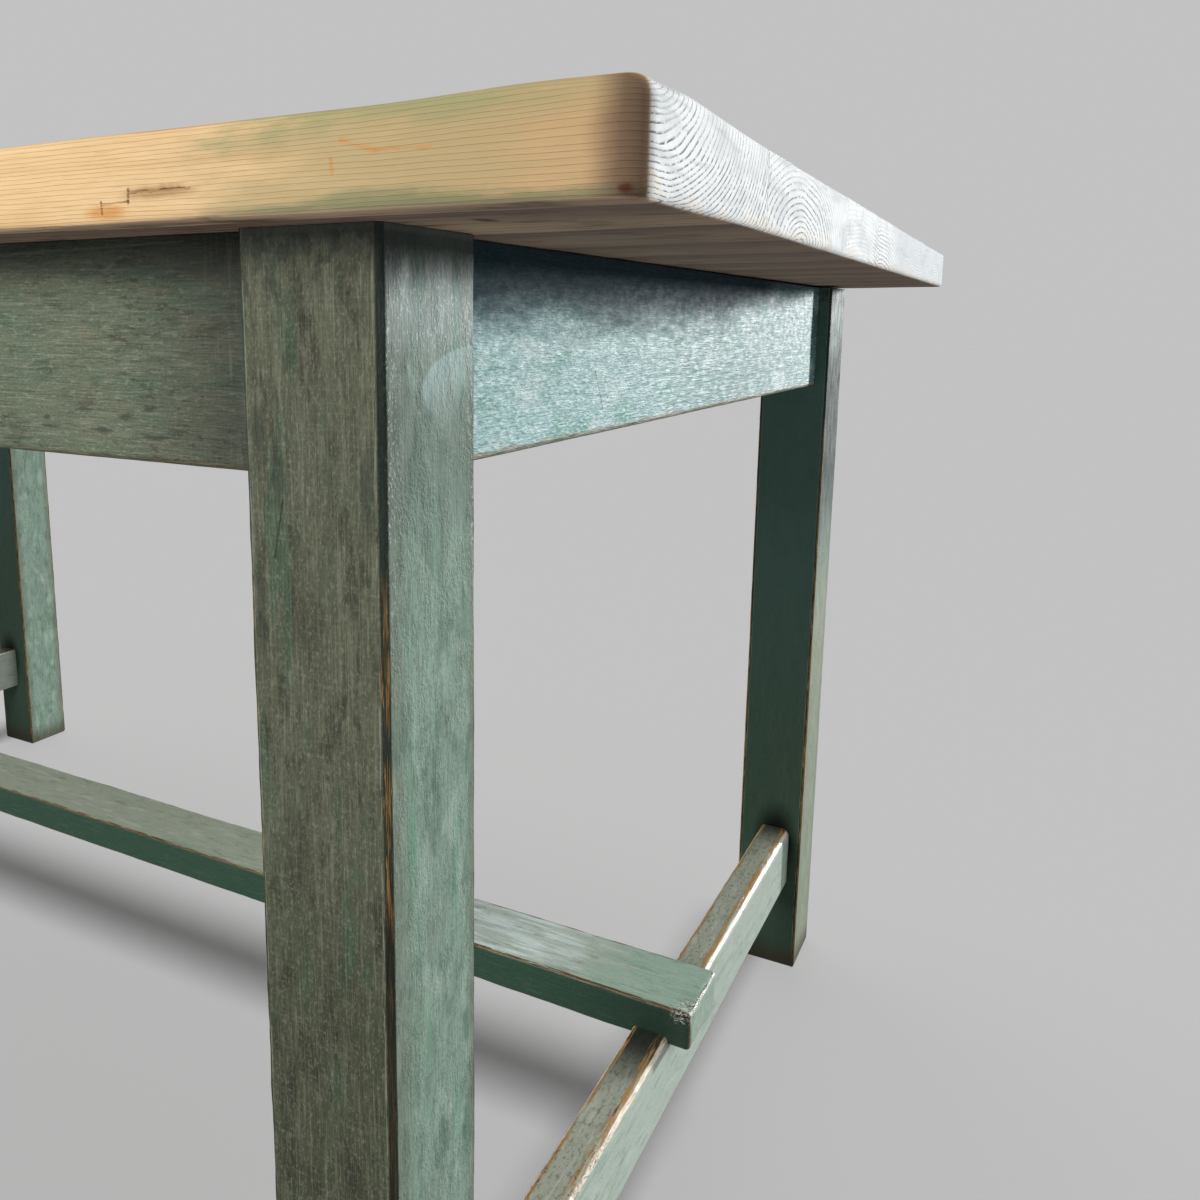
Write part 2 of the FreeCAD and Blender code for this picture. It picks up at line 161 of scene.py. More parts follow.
class Timber:
    """One length of wood: a box whose edges are eased, worn and dented."""

    def __init__(self, node, low, high, axis, cell, rim):
        self.node = node
        self.axis = axis
        self.low = np.array(low)
        self.high = np.array(high)
        lines = [grid_lines(low[n], high[n], cell[n], rim) for n in range(3)]
        self.points, self.quads = box_skin(lines)
        self.start = self.points.copy()
        self.inset = np.stack([self.start - self.low, self.high - self.start])
        self.across = [n for n in range(3) if n != axis]

    def ease(self, corner, end, joints=()):
        """Rounds the four edges along the axis, then the rims round its two ends.

        corner(sides) gives a radius and a power for an edge, and end(side) gives the
        radius of the rim. Faces that are joints have no rim."""
        a, b = self.across
        turn = np.array([1, -1])
        outward = np.zeros_like(self.start)
        curved = np.zeros(len(self.start), dtype=bool)
        for sides in itertools.product(SIDES, repeat=2):
            radius, power = corner(sides)
            gap_a = radius - self.inset[sides[0], :, a]
            gap_b = radius - self.inset[sides[1], :, b]
            near, move_a, move_b = eased(gap_a, gap_b, power)
            self.points[:, a] += turn[sides[0]] * move_a
            self.points[:, b] += turn[sides[1]] * move_b
            reach = np.where(near, np.hypot(gap_a, gap_b), 1)
            outward[near, a] = (-turn[sides[0]] * gap_a / reach)[near]
            outward[near, b] = (-turn[sides[1]] * gap_b / reach)[near]
            curved |= near
        faces = [(side, n) for n in self.across for side in SIDES if (side, n) not in joints]
        depths = np.stack([self.inset[side, :, n] for side, n in faces])
        nearest = depths.argmin(axis=0)
        self.depth = depths.min(axis=0)
        for place, (side, n) in enumerate(faces):
            flat = (nearest == place) & ~curved
            outward[flat, n] = -turn[side]
        for side in SIDES:
            gap_in = end(side) - self.depth
            gap_end = end(side) - self.inset[side, :, self.axis]
            near, move_in, move_end = eased(gap_in, gap_end, ROUND)
            self.points -= outward * move_in[:, None]
            self.points[:, self.axis] += turn[side] * move_end
        return self

    def part_joints(self, joints, depth):
        """Opens a fine groove along the joints, on both ends of the axis."""
        for side, n in joints:
            for end in SIDES:
                line = (self.inset[side, :, n] == 0) & (self.inset[end, :, self.axis] == 0)
                self.points[line, self.axis] += depth if end == LOW else -depth

    def edge_distance(self, rims, worn):
        """How far each point lies from the nearest arris, where worn ones reach further."""
        a, b = self.across
        near = np.full(len(self.start), np.inf)
        for sides in itertools.product(SIDES, repeat=2):
            away = np.hypot(self.inset[sides[0], :, a], self.inset[sides[1], :, b])
            near = np.minimum(near, away / worn.get(sides, 1))
        if rims:
            ends = self.inset[:, :, self.axis].min(axis=0)
            near = np.minimum(near, ends + self.depth)
        return near

    def dent(self, centre, reach, depth):
        """Presses a round hollow into the surface, so many mm in reach and depth."""
        away = np.linalg.norm(self.start - np.array(centre), axis=1)
        return self.press(-depth * MM * (1 - smooth(away, 0, reach * MM)))

    def normals(self):
        """Smooth outward directions at the points."""
        corners = self.points[self.quads]
        face = np.cross(corners[:, 2] - corners[:, 0], corners[:, 3] - corners[:, 1])
        total = np.zeros_like(self.points)
        for n in range(4):
            np.add.at(total, self.quads[:, n], face)
        return total / np.maximum(np.linalg.norm(total, axis=1), 1e-12)[:, None]

    def press(self, amount):
        """Moves every point along its own normal, inwards where the amount is below zero."""
        self.points += self.normals() * np.asarray(amount)[:, None]
        return self

    def piece(self, material, slot, grain_axis, pith=(0, 0), shift=0.0, rims=True, worn=None):
        """Makes the Blender piece that stands for the CAD node."""
        mesh = bpy.data.meshes.new("worn_" + self.node)
        mesh.from_pydata(self.points.tolist(), [], self.quads.tolist())
        mesh.polygons.foreach_set("use_smooth", np.ones(len(self.quads), dtype=bool))
        others = [n for n in range(3) if n != grain_axis]
        grain = np.empty_like(self.start)
        grain[:, X] = self.start[:, grain_axis] + shift
        grain[:, Y] = self.start[:, others[0]] - pith[0]
        grain[:, Z] = self.start[:, others[1]] - pith[1]
        mesh.attributes.new("grain", "FLOAT_VECTOR", "POINT").data.foreach_set("vector", grain.ravel())
        edge = self.edge_distance(rims, worn or {})
        mesh.attributes.new("edge", "FLOAT", "POINT").data.foreach_set("value", edge)
        mesh.materials.append(material)
        piece = add_object("worn_" + self.node, mesh)
        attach(piece, "root")
        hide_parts(self.node)
        return piece


# Materials

def linear(colour):
    """A shown colour, in levels from 0 to 255, as linear shares."""
    shares = []
    for level in colour:
        share = level / 255
        shares.append(share / 12.92 if share <= 0.04045 else ((share + 0.055) / 1.055) ** 2.4)
    return (*shares, 1.0)


class Field:
    """A value that differs over a surface, for use in plain arithmetic."""

    def __init__(self, shade, socket):
        self.shade = shade
        self.socket = socket

    def __add__(self, other):
        return self.shade.math("ADD", self, other)

    def __sub__(self, other):
        return self.shade.math("SUBTRACT", self, other)

    def __rsub__(self, other):
        return self.shade.math("SUBTRACT", other, self)

    def __mul__(self, other):
        return self.shade.math("MULTIPLY", self, other)

    def __abs__(self):
        return self.shade.math("ABSOLUTE", self)

    def ease(self, start, end, low=0.0, high=1.0):
        """Eases the value from low at start to high at end."""
        if start > end:
            start, end, low, high = end, start, high, low
        inputs = {0: self, 1: start, 2: end, 3: low, 4: high}
        node = self.shade.add("ShaderNodeMapRange", inputs, interpolation_type="SMOOTHSTEP")
        return self.shade.out(node)


class Shade:
    """A material written as arithmetic with fields: places in metres, marks and reliefs in mm."""

    def __init__(self, name):
        self.material = bpy.data.materials.new(name)
        self.material.use_nodes = True
        self.tree = self.material.node_tree
        self.surface = self.tree.nodes["Principled BSDF"]
        self.places = self.add("ShaderNodeTexCoord")
        self.at = self.out(self.places, "Object")

    def put(self, socket, value):
        """Links a field to a socket, or sets a constant; three levels up to 255 make a shown colour."""
        if isinstance(value, Field):
            self.tree.links.new(value.socket, socket)
        elif socket.type == "RGBA" and len(value) == 3:
            socket.default_value = linear(value)
        else:
            socket.default_value = value

    def add(self, kind, inputs=None, **settings):
        """Adds a node with its inputs and settings."""
        node = self.tree.nodes.new(kind)
        for key, value in settings.items():
            setattr(node, key, value)
        for key, value in (inputs or {}).items():
            self.put(node.inputs[key], value)
        return node

    def out(self, node, key=0):
        """One output of a node as a field."""
        return Field(self, node.outputs[key])

    def math(self, operation, first, second=0.0):
        return self.out(self.add("ShaderNodeMath", {0: first, 1: second}, operation=operation))

    def most(self, first, second):
        return self.math("MAXIMUM", first, second)

    def least(self, first, second):
        return self.math("MINIMUM", first, second)

    def mix(self, share, first, second):
        """A colour between two, by share."""
        inputs = {0: share, 6: first, 7: second}
        return self.out(self.add("ShaderNodeMix", inputs, data_type="RGBA"), 2)

    def split(self, vector):
        """The three parts of a vector."""
        node = self.add("ShaderNodeSeparateXYZ", {0: vector})
        return [self.out(node, axis) for axis in range(3)]

    def join(self, x, y, z):
        return self.out(self.add("ShaderNodeCombineXYZ", {0: x, 1: y, 2: z}))

    def reckon(self, operation, vector, other):
        """Arithmetic with vectors."""
        return self.out(self.add("ShaderNodeVectorMath", {0: vector, 1: other}, operation=operation))

    def attribute(self, name, key):
        return self.out(self.add("ShaderNodeAttribute", attribute_name=name), key)

    def noise(self, vector, size, detail=2.0, rough=0.5, offset=0.0):
        """Noise from 0 to 1 whose blots measure about size, in mm, along each axis."""
        place = self.reckon("MULTIPLY", vector, tuple(1 / (length * MM) for length in size))
        if offset:
            place = self.reckon("ADD", place, (offset, offset, offset))
        inputs = {"Vector": place, "Scale": 1.0, "Detail": detail, "Roughness": rough}
        return self.out(self.add("ShaderNodeTexNoise", inputs))

    def spot(self, first, second, centre, reach):
        """An oval mask, 1 at its centre and 0 at its rim, which lies so many mm away."""
        away_a = (first - centre[0]) * (1 / (reach[0] * MM))
        away_b = (second - centre[1]) * (1 / (reach[1] * MM))
        away = self.math("SQRT", away_a * away_a + away_b * away_b)
        return away.ease(1.0, 0.3)

    def stroke(self, first, second, start, end, width):
        """A mask along a straight stroke between two places, so many mm to each side."""
        run = (end[0] - start[0], end[1] - start[1])
        length = run[0] ** 2 + run[1] ** 2
        off_a = first - start[0]
        off_b = second - start[1]
        share = off_a * (run[0] / length) + off_b * (run[1] / length)
        share = self.least(self.most(share, 0.0), 1.0)
        away_a = off_a - share * run[0]
        away_b = off_b - share * run[1]
        away = self.math("SQRT", away_a * away_a + away_b * away_b)
        return away.ease(width * MM, 0.3 * width * MM)

    def bump(self, height, distance):
        """A relief whose full height is a distance in mm."""
        inputs = {"Height": height, "Distance": distance * MM, "Strength": 1.0}
        return self.out(self.add("ShaderNodeBump", inputs))

    def finish(self, colour, roughness, normal=None, specular=0.5):
        """Sets up the surface and returns the material."""
        self.put(self.surface.inputs["Base Color"], colour)
        self.put(self.surface.inputs["Roughness"], roughness)
        self.surface.inputs["Specular IOR Level"].default_value = specular
        if normal is not None:
            self.put(self.surface.inputs["Normal"], normal)
        return self.material


# How squarely a face looks along an axis where its mask begins and where it is full
FACING = (0.55, 0.85)
# How far a noise has to leave its middle before a coat is graded, and until it is so in full
GRADE_START = 0.03
GRADE_WIDTH = 0.18
SEED_STEP = 3.71


class Coat(Shade):
    """A surface built up in layers over wood that has a grain and worn edges."""

    def __init__(self, name, seed, base):
        super().__init__(name)
        self.seed = seed
        self.base = base
        self.grain = self.attribute("grain", "Vector")
        self.edge = self.attribute("edge", "Fac")
        self.x, self.y, self.z = self.split(self.at)
        self.normal = self.split(self.out(self.places, "Normal"))
        self.on_x = abs(self.normal[X]).ease(*FACING)
        self.on_y = abs(self.normal[Y]).ease(*FACING)
        self.on_top = self.normal[Z].ease(*FACING)
        self.under = (0 - self.normal[Z]).ease(*FACING)
        self.fine = self.figure(14, 0.5)
        self.speck = self.figure(1.6, 1.0, 3.0)

    def figure(self, along, across, detail=2.0, rough=0.6):
        """Noise whose blots measure so many mm along and across the grain."""
        self.seed += SEED_STEP
        return self.noise(self.grain, (along, across, across), detail, rough, self.seed)

    def blots(self, along, across, start, end, detail=3.0):
        """A mask of soft blots."""
        return self.figure(along, across, detail).ease(start, end)

    def lay(self, colour, mask, amount=1.0):
        """Lays a colour over the coat where the mask is."""
        share = mask if amount == 1.0 else mask * amount
        self.base = self.mix(share, self.base, colour)

    def grade(self, noise, light, dark, amount):
        """Lightens the coat where a noise is high and darkens it where it is low."""
        for colour, away in ((light, noise - 0.5), (dark, 0.5 - noise)):
            self.lay(colour, away.ease(GRADE_START, GRADE_START + GRADE_WIDTH), amount)

    def wear(self, reach, ragged, light, dark, where=None, amount=1.0, rim=None):
        """Bare wood along the arrises, so many mm in, with a ragged limit.

        A rim colour, where there is one, shows further in, beyond a core of the bare wood."""
        rag = self.figure(24, 2.6, 3.0, 0.65) - 0.5
        depth = self.edge + rag * (ragged * MM)
        bare = depth.ease(reach * MM, 0.7 * reach * MM)
        wood = self.mix(self.fine.ease(0.36, 0.62), dark, light)
        if rim is not None:
            core = depth.ease(1.6 * MM, 1.0 * MM)
            bare = bare * self.blots(26, 1.6, 0.42, 0.54) * self.on_top
            bare = self.most(core, bare)
            wood = self.mix(core, rim, wood)
        if where is not None:
            bare = bare * where
        self.lay(wood, bare, amount)
        return bare


# Where the back legs begin, across the table
BACK_LEGS = (0.30, 0.34)


def leg_paint():
    """Grey-olive fronts, sage sides partly painted sheen, grime and painted shade at the top, bare down
    the corner.
    """
    coat = Coat("leg_paint", 1.0, (95, 99, 82))
    y, z = coat.y, coat.z
    coat.lay((68, 75, 57), z.ease(0.50, 0.43), 0.6)
    # Sage sides: partly the paint's own tint, partly painted sheen from the low light beyond the right
    # end
    coat.lay((130, 154, 139), coat.on_x)
    front = coat.on_x.ease(1.0, 0.0, 0.3, 1.0)
    coat.lay((88, 97, 80), front * coat.blots(80, 30, 0.46, 0.66), 0.5)
    coat.lay((56, 58, 48), front * coat.blots(50, 22, 0.52, 0.64, 6.0), 0.6)
    coat.lay((54, 54, 44), front * coat.blots(22, 10, 0.53, 0.62, 6.0), 0.55)
    coat.lay((66, 102, 82), coat.blots(60, 14, 0.54, 0.68, 4.0), 0.45)
    coat.lay((154, 156, 140), coat.blots(9, 4, 0.55, 0.67, 6.0), 0.22)
    weft = coat.noise(coat.grain, (1.5, 26, 26), 2.0, 0.5, 17.0)
    streak = coat.figure(40, 1.6)
    coat.grade(weft, (148, 150, 134), (66, 68, 58), 0.12)
    coat.grade(streak, (146, 148, 132), (62, 66, 57), 0.26)
    coat.grade(coat.fine, (162, 164, 146), (48, 52, 46), 0.23)
    coat.grade(coat.speck, (164, 166, 152), (50, 54, 48), 0.3)
    # A shaded copy of the paint on the back legs' front faces, which lie in the top's shadow: painted
    # shade, greener and lighter higher up
    beyond = y.ease(*BACK_LEGS) * (0 - coat.normal[Y]).ease(*FACING)
    shaded = coat.mix(z.ease(0.2, 0.6), (68, 95, 82), (94, 130, 124))
    coat.lay(shaded, beyond, 0.8)
    # leg_sides hands back its mask of painted shade on the back legs' outer sides, which also roughens
    # them
    painted_shade = leg_sides(coat)
    leg_marks(coat)
    bare = leg_corner(coat)
    foot = (z + (coat.fine - 0.5) * 0.02).ease(0.034, 0.004)
    coat.lay((74, 62, 50), foot, 0.75)
    rough = coat.figure(20, 6, 3.0).ease(0.3, 0.7, 0.48, 0.62)
    crinkle = coat.figure(26, 12, 4.0).ease(0.4, 0.62, 0.2, 0.75)
    height = streak * 0.12 + coat.fine * 0.15 + coat.speck * crinkle - bare * 0.25
    return coat.finish(coat.base, rough + painted_shade * 0.17, coat.bump(height, 0.8), 0.07)


def leg_sides(coat):
    """Chalky mint low down, painted silvery sheen and glints on the crinkles high up, and dirt beside
    the arrises.
    """
    side, y, z = coat.on_x, coat.y, coat.z
    low = side * z.ease(0.64, 0.5)
    coat.lay((70, 92, 80), side * coat.blots(26, 11, 0.53, 0.64, 6.0), 0.4)
    dull = z.ease(0.685, 0.668) * z.ease(0.61, 0.635)
    coat.lay((76, 94, 84), side * dull, 0.4)
    coat.lay((186, 201, 187), low * coat.blots(34, 14, 0.52, 0.66, 6.0), 0.3)
    coat.lay((88, 142, 116), side * coat.blots(70, 9, 0.55, 0.68, 4.0), 0.45)
    coat.lay((96, 95, 82), side * coat.edge.ease(20 * MM, 4 * MM), 0.45)
    # Painted sheen: a silvery band high on the sides, with painted glints there and along the arrises
    # lower down
    sheen_band = z.ease(0.688, 0.7) * z.ease(0.726, 0.716)
    coat.lay((186, 196, 200), side * sheen_band, 0.25)
    lined = coat.edge.ease(15 * MM, 4 * MM) * z.ease(0.56, 0.64)
    glint = coat.most(sheen_band, lined) * coat.speck.ease(0.56, 0.68)
    coat.lay((228, 232, 234), side * glint, 0.5)
    inside = coat.spot(y, z, *FAN).ease(0.0, 0.06)
    beyond_tip = (y - FAN_TIP[0]) * FAN_LEAN
    fade = (beyond_tip + (FAN_TIP[1] - z)).ease(28 * MM, 0.0)
    outer = side * coat.x.ease(0.655, 0.66)
    coat.lay((192, 216, 216), outer * inside * fade, 0.42)
    back = outer * y.ease(*BACK_LEGS)
    coat.lay((160, 160, 138), back * z.ease(0.52, 0.38), 0.5)
    # Painted shade: the back legs' outer sides darkened under the top, where its shadow falls
    upper = z.ease(0.42, 0.56) * z.ease(0.71, 0.65, 0.5, 1.0)
    painted_shade = back * upper
    coat.lay((48, 60, 56), painted_shade, 0.9)
    # Painted shade: a dark ragged band just under the top on the sides, where the overhang's shadow
    # falls
    rim = z + (coat.figure(12, 6, 4.0) - 0.5) * 0.02
    coat.lay((50, 57, 60), side * rim.ease(0.708, 0.728), 0.7)
    return painted_shade


# A paler fan in the near leg's outer side, and the tip from which it fades, down and aslant
FAN = ((-0.348, 0.677), (44, 18))
FAN_TIP = (-0.390, 0.683)
FAN_LEAN = 0.35
LEG_SCRATCH = ((0.6197, 0.6347), (0.6146, 0.6111))
LEG_SMEARS = (((0.6175, 0.643), (5, 20)), ((0.6600, 0.640), (4, 26)),
              ((0.6080, 0.662), (6, 14)), ((0.6070, 0.585), (3, 30)))
# Painted contact shadow round the end stretchers' joints, on the legs' inner faces
STRETCHER_SHADOW = ((0.6405, 0.146), (30, 54))


def leg_marks(coat):
    """Grime and painted shade under the top, painted shadow by the stretchers, and a scratch and smears
    on the near leg's front.
    """
    x, z = coat.x, coat.z
    # Grime and painted shade: a dark ragged band and blotches just under the top
    rim = z + (coat.figure(4.5, 8, 5.0) - 0.5) * 0.03
    coat.lay((66, 74, 74), rim.ease(0.7255, 0.7295), 0.4)
    spots = coat.blots(9, 7, 0.5, 0.58, 5.0) * z.ease(0.7, 0.722)
    coat.lay((42, 48, 50), spots * coat.on_y, 0.42)
    coat.lay((108, 116, 110), z.ease(0.7345, 0.7365), 0.45)
    near = coat.on_y * coat.y.ease(-0.34, -0.4)
    ragged_x = x + (coat.figure(8, 4, 4.0) - 0.5) * 0.012
    for centre, reach in LEG_SMEARS:
        coat.lay((56, 64, 58), near * coat.spot(ragged_x, z, centre, reach), 0.55)
    scratch = coat.stroke(x, z, *LEG_SCRATCH, 0.7) * coat.fine.ease(0.3, 0.5)
    coat.lay((40, 42, 38), near * scratch, 0.7)
    # Painted contact shadow where the end stretchers meet the legs
    inner = (coat.normal[Y] * coat.y).ease(-0.2, -0.3)
    coat.lay((20, 22, 18), inner * coat.spot(abs(x), z, *STRETCHER_SHADOW), 0.95)


def leg_corner(coat):
    """The chamfer: dark paint and painted shade above, cracked bare wood in the middle, brown dirt
    below, and a painted highlight beside it.
    """
    z = coat.z
    # Dark paint on the chamfer, deepened as painted shade, since it faces away from the lamps
    coat.lay((40, 54, 50), coat.edge.ease(2.9 * MM, 2.3 * MM), 0.75)
    # Painted highlight: a pale line beside the arrises on the front faces, where the chamfer's edge
    # catches light
    lip_highlight = coat.edge.ease(3.0 * MM, 3.4 * MM) * coat.edge.ease(4.3 * MM, 3.8 * MM)
    lip_highlight = lip_highlight * coat.on_y * coat.fine.ease(0.4, 0.6)
    coat.lay((162, 164, 148), lip_highlight, 0.55)
    grime = coat.edge.ease(3.4 * MM, 1.8 * MM) * z.ease(0.52, 0.45)
    coat.lay((50, 49, 38), grime, 0.7)
    middle = z.ease(0.615, 0.59) * z.ease(0.42, 0.5, 0.15, 1.0)
    middle = middle * coat.blots(36, 2.0, 0.42, 0.52)
    far = coat.y.ease(*BACK_LEGS) * z.ease(0.58, 0.44)
    middle = coat.most(middle, far * 0.8)
    bare = coat.wear(2.2, 6.0, (190, 150, 98), (72, 52, 34), middle)
    crack = coat.figure(40, 1.0, 1.0).ease(0.32, 0.24)
    coat.lay((26, 24, 20), crack * coat.edge.ease(6 * MM, 3 * MM), 0.7)
    return bare


def apron_paint():
    """Mottled sage fronts and turquoise ends in painted sheen, dark along the top from brush stain and
    painted shade.
    """
    coat = Coat("apron_paint", 131.0, (106, 116, 98))
    front, end, z = coat.on_y, coat.on_x, coat.z
    coat.lay((128, 122, 104), coat.blots(44, 22, 0.5, 0.66, 4.0), 0.5)
    coat.lay((84, 112, 94), coat.blots(60, 20, 0.5, 0.66, 4.0), 0.55)
    coat.lay((58, 64, 56), coat.blots(24, 9, 0.54, 0.66, 6.0), 0.4)
    clouds = coat.blots(60, 34, 0.4, 0.6)
    coat.lay((74, 68, 56), clouds * coat.blots(7, 3, 0.53, 0.6, 6.0), 0.7)
    coat.lay((160, 166, 146), coat.blots(6, 1.8, 0.55, 0.65, 6.0), 0.4)
    scratch = coat.figure(18, 0.7, 2.0)
    coat.grade(scratch, (156, 162, 146), (48, 54, 46), 0.36)
    coat.grade(coat.speck, (156, 162, 146), (54, 60, 52), 0.34)
    crinkle = coat.figure(5.0, 1.4, 3.0)
    wrinkle = coat.noise(coat.grain, (16, 1.8, 1.8), 2.0, 0.5, 29.0)
    longer = coat.y.ease(-0.20, 0.0, 0.15, 0.85)
    crinkle = crinkle + (wrinkle - crinkle) * longer
    # The end aprons' painted sheen and glints
    painted_end_sheen(coat, crinkle)
    # Brush stain and painted shade: a dark ragged band along the top of the fronts
    ragged_height = z + (coat.figure(70, 12, 4.0) - 0.5) * 0.03
    coat.lay((44, 50, 48), front * ragged_height.ease(0.712, 0.732), 0.6)
    # Painted shadow of the overhang along the top of the end aprons, deeper at their near end
    shadow_edge = ragged_height + coat.y.ease(0.34, -0.06, -0.025, 0.012)
    painted_shade = end * shadow_edge.ease(0.699, 0.731)
    coat.lay((22, 46, 58), painted_shade, 0.95)
    apron_marks(coat, front)
    foot = z.ease(0.66, 0.648)
    coat.wear(2.8, 4.0, (140, 128, 100), (76, 68, 52), foot * front, 0.65)
    coat.wear(4.4, 6.0, (176, 164, 142), (80, 72, 58), foot * end, 0.8)
    rough = coat.figure(12, 5, 3.0).ease(0.3, 0.7, 0.44, 0.58)
    rough = rough + painted_shade * 0.2 + end * coat.y.ease(-0.15, 0.1, 0.0, 0.04)
    ripple = coat.figure(40, 2.4)
    relief = coat.y.ease(0.20, -0.15, 0.25, 0.5)
    height = scratch * 0.2 + crinkle * relief + ripple * 0.3
    return coat.finish(coat.base, rough, coat.bump(height, 1.2), 0.07)


def painted_end_sheen(coat, crinkle):
    """Turquoise end aprons in painted sheen: a pale copy of the paint, silvery blots, and painted
    glints on the crinkles.
    """
    end, y = coat.on_x, coat.y
    sunny = end * coat.x.ease(-0.1, 0.1, 0.3, 1.0)
    sunny = sunny * y.ease(0.2, -0.15, 0.4, 1.0)
    coat.lay((96, 133, 133), end)
    coat.lay((160, 202, 200), end * y.ease(0.1, -0.3), 0.6)
    coat.lay((66, 140, 120), end * coat.blots(44, 18, 0.52, 0.64, 4.0), 0.55)
    coat.lay((196, 208, 208), end * coat.blots(50, 22, 0.52, 0.66, 4.0), 0.45)
    coat.lay((224, 238, 238), sunny * crinkle.ease(0.52, 0.62), 0.54)
    coat.lay((58, 98, 96), sunny * crinkle.ease(0.47, 0.37), 0.55)


APRON_BLOTCHES = (((0.471, 0.6552), (10, 1.3)), ((0.5065, 0.6549), (8.5, 1.9)),
                  ((0.495, 0.664), (8, 1.5)), ((0.541, 0.6535), (17, 1.4)),
                  ((0.521, 0.6615), (6.5, 2.4)), ((0.536, 0.666), (5, 2)),
                  ((0.469, 0.6595), (3, 1.6)), ((0.31, 0.667), (9, 1.6)),
                  ((0.17, 0.656), (11, 1.6)), ((-0.12, 0.662), (10, 1.8)),
                  ((-0.36, 0.655), (12, 1.6)))
BRUSH_END = ((0.43, 0.7325), (0.56, 0.7352))
APRON_CRACK = ((-0.197, 0.6777), (-0.185, 0.655))
APRON_WRINKLES = (((-0.058, 0.6775), (-0.045, 0.6735)), ((-0.052, 0.6740), (-0.036, 0.6705)),
                  ((-0.046, 0.6800), (-0.034, 0.6760)))


def apron_marks(coat, front):
    """Darker beside the legs, flat dark flecks low down, and a few wrinkles in the paint."""
    x, y, z = coat.x, coat.y, coat.z
    upright = coat.noise(coat.grain, (1.6, 16, 30), 3.0, 0.6, 5.0)
    along = abs(x) + (upright - 0.5) * 0.02
    near_leg = along.ease(0.51, 0.6) * front
    coat.lay((52, 52, 50), near_leg, 0.7)
    coat.lay((152, 156, 144), near_leg * upright.ease(0.52, 0.7), 0.15)
    coat.lay((118, 128, 116), front * coat.stroke(x, z, *BRUSH_END, 0.9), 0.25)
    wobble = z + (coat.figure(9, 3) - 0.5) * 0.004
    for centre, reach in APRON_BLOTCHES:
        mark = coat.spot(x, wobble, centre, reach)
        coat.lay((62, 70, 62), mark * front, 0.7)
    far_end = coat.on_x * x.ease(0.64, 0.65)
    coat.lay((52, 60, 62), far_end * coat.stroke(y, wobble, *APRON_CRACK, 0.8), 0.7)
    for start, end in APRON_WRINKLES:
        coat.lay((60, 70, 74), far_end * coat.stroke(y, z, start, end, 0.9), 0.7)


def end_stretcher_paint():
    """Pale sage rails, paler partly as painted light, whose outer arris is trodden down to polished
    wood under a painted highlight.
    """
    coat = Coat("end_stretcher_paint", 261.0, (62, 94, 78))
    y = coat.y
    # Outer faces and tops laid paler than the fronts: paler paint, and partly painted light on faces
    # that catch more of it
    coat.lay((180, 193, 180), coat.on_x)
    coat.lay((172, 178, 162), coat.on_top)
    coat.lay((84, 86, 74), coat.on_top * coat.blots(5, 2.5, 0.52, 0.62, 4.0), 0.5)
    # Grime and painted contact shadow on the tops, under the long stretcher's lap and beside the legs
    under_lap = y.ease(-0.115, -0.045) * y.ease(0.0, -0.01)
    by_legs = abs(y).ease(0.300, 0.345)
    grime = coat.on_top * coat.most(under_lap, by_legs * 0.8)
    # Bare wood on the trodden arris: its pale cream-to-white core is partly a painted highlight, with
    # an orange-brown rim
    woods = ((250, 246, 234), (228, 206, 168), (178, 138, 86))
    return trodden(coat, (62, 94, 78), woods, 4.6, grime)


KNOCKED_CORNER = ((0.665, -0.026), (13, 15))


def long_stretcher_paint():
    """A dark green plank with a pale top, partly painted light, and a painted bluish-white sheen near
    its right end.
    """
    coat = Coat("long_stretcher_paint", 331.0, (46, 84, 66))
    x, y = coat.x, coat.y
    # End and top laid paler than the front: paler paint, and partly painted light on faces that catch
    # more of it
    coat.lay((156, 174, 158), coat.on_x)
    coat.lay((168, 180, 163), coat.on_top)
    # Painted sheen on the top towards the right end: bluish white, then turquoise over the last stretch
    drift = x + (coat.figure(30, 14, 4.0) - 0.5) * 0.12
    sheen_patch = drift.ease(0.36, 0.44) * drift.ease(0.62, 0.52)
    sheen_patch = sheen_patch * coat.figure(50, 4, 4.0).ease(0.4, 0.6, 0.4, 1.0)
    coat.lay((232, 250, 250), coat.on_top * sheen_patch, 0.9)
    coat.lay((160, 196, 180), coat.on_top * drift.ease(0.56, 0.62), 0.7)
    woods = ((140, 112, 78), (84, 60, 38), (96, 70, 44))
    material = trodden(coat, (46, 84, 66), woods, 3.2, 0.0)
    coat.lay((30, 44, 36), coat.on_y * x.ease(0.52, 0.66), 0.6)
    knocked = coat.spot(x, y, *KNOCKED_CORNER)
    knocked = knocked * coat.z.ease(0.174, 0.181)
    coat.lay((240, 238, 230), knocked * coat.speck.ease(0.52, 0.6), 0.9)
    coat.lay((34, 32, 28), knocked * coat.speck.ease(0.46, 0.38), 0.8)
    coat.put(coat.surface.inputs["Base Color"], coat.base)
    return material


